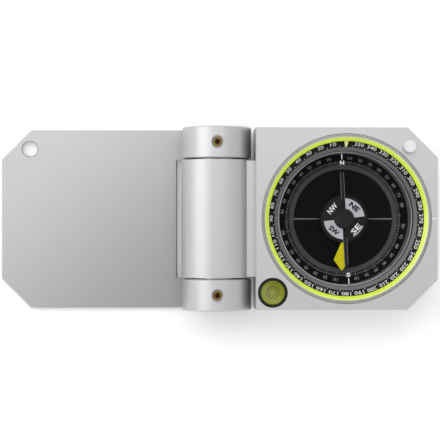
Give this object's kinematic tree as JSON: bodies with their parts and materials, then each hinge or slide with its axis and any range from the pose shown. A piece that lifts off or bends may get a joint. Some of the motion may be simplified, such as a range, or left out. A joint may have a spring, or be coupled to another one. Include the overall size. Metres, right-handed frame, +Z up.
{
  "type": "folding pocket transit compass",
  "caption": "Folding aluminium transit compass with a hinged lid plate, turning azimuth ring, damped needle on a pivot, needle lift button and round level.",
  "frame": {"origin": "on the resting surface, below the middle of the hinge, which is the centre of the box's underside with the lid opened flat", "axes": "+X across the hinge towards the case, -X towards the opened lid, +Y along the hinge, +Z up out of the dial"},
  "size_m": [0.1838, 0.077, 0.029],
  "materials": {
    "silver_case": "bead-blasted clear anodised",
    "silver_lid": "bead-blasted clear anodised",
    "silver_cover": "clear anodised",
    "silver_bezel": "turned bright",
    "button_steel": "turned",
    "black_scale": "black anodised, satin",
    "black_dial": "satin black",
    "grey_ring": "dark grey anodised",
    "blade_black": "satin black",
    "disc_black": "satin",
    "hub_grey": "satin",
    "black_cup": "satin",
    "window_ring": "black anodised",
    "yellow_ring": "glossy fluorescent",
    "yellow_paint": "satin",
    "quadrant_card": "printed",
    "brass_screw": "turned",
    "bronze_bush": "sintered, plain",
    "jewel_brass": "turned",
    "sleeve_brass": "turned",
    "steel": "ground",
    "screw_steel": "plain",
    "spring_steel": "spring steel",
    "lever_steel": "pressed sheet",
    "magnet_nickel": "nickel plated",
    "dip_dial": "printed",
    "clear_window": "clear",
    "crystal": "clear",
    "gasket_rubber": "matt",
    "acetal": "plain",
    "level_green": "plain",
    "level_clear": "clear green",
    "level_fluid": "green fluid"
  },
  "bodies": {
    "case": {"case_body": "silver_case", "bottom_cover": "silver_cover", "cover_screws": "screw_steel", "hinge_axle": "steel", "axle_lock_screw": "steel", "front_thrust_washer": "steel", "rear_thrust_washer": "steel", "front_dip_dial": "dip_dial", "rear_dip_dial": "dip_dial", "dial_plate": "black_dial", "damping_ring": "grey_ring", "pivot_post": "steel", "crystal_gasket": "gasket_rubber", "crystal": "crystal", "snap_ring": "spring_steel", "glide_ring": "acetal", "lever_pin": "steel", "button_spring": "spring_steel", "level_cup": "black_cup", "level_base": "level_green", "level_vial": "level_clear", "level_fluid": "level_fluid"},
    "lid": {"lid": "silver_lid", "front_hinge_bush": "bronze_bush", "rear_hinge_bush": "bronze_bush", "tension_screws": "brass_screw", "friction_pads": "acetal", "front_dip_window": "clear_window", "rear_dip_window": "clear_window", "front_window_ring": "window_ring", "rear_window_ring": "window_ring"},
    "azimuth_ring": {"azimuth_ring": "black_scale", "colour_ring": "yellow_ring", "bezel_ring": "silver_bezel"},
    "lift_button": {"lift_button": "button_steel", "button_clip": "spring_steel"},
    "lift_lever": {"lift_lever": "lever_steel"},
    "lifter": {"lift_sleeve": "sleeve_brass"},
    "needle": {"needle_disc": "disc_black", "quadrant_card": "quadrant_card", "needle_blade": "blade_black", "hub_cap": "hub_grey", "yellow_arrow": "yellow_paint", "needle_magnets": "magnet_nickel", "jewel_cup": "jewel_brass"}
  },
  "joints": [
    {"name": "lid_hinge", "type": "hinge", "parent": "case", "child": "lid", "pos_m": [0, 0, 0.0145], "axis": [0, 1, 0], "range_deg": [0, 180]},
    {"name": "ring_turn", "type": "hinge", "parent": "case", "child": "azimuth_ring", "pos_m": [0.0539, 0, 0.0205], "axis": [0, 0, 1], "continuous": true},
    {"name": "button_press", "type": "slide", "parent": "case", "child": "lift_button", "axis": [0, 0, -1], "range_m": [0, 0.001], "stiffness_N_per_m": 500, "springref_m": -0.001, "deforming": ["button_spring"]},
    {"name": "lever_rock", "type": "hinge", "parent": "case", "child": "lift_lever", "pos_m": [0.06692, 0.01498, 0.0033], "axis": [-0.7547, 0.6561, 0], "range_deg": [0, 3]},
    {"name": "needle_lift", "type": "slide", "parent": "case", "child": "lifter", "axis": [0, 0, 1], "range_m": [0, 0.00105]},
    {"name": "needle_spin", "type": "hinge", "parent": "lifter", "child": "needle", "pos_m": [0.0539, 0, 0.0131], "axis": [0, 0, 1], "continuous": true}
  ],
  "couplings": [
    {"joint": "lever_rock", "follows": "button_press", "rad_per_m": 50.378},
    {"joint": "needle_lift", "follows": "button_press", "ratio": 1}
  ]
}
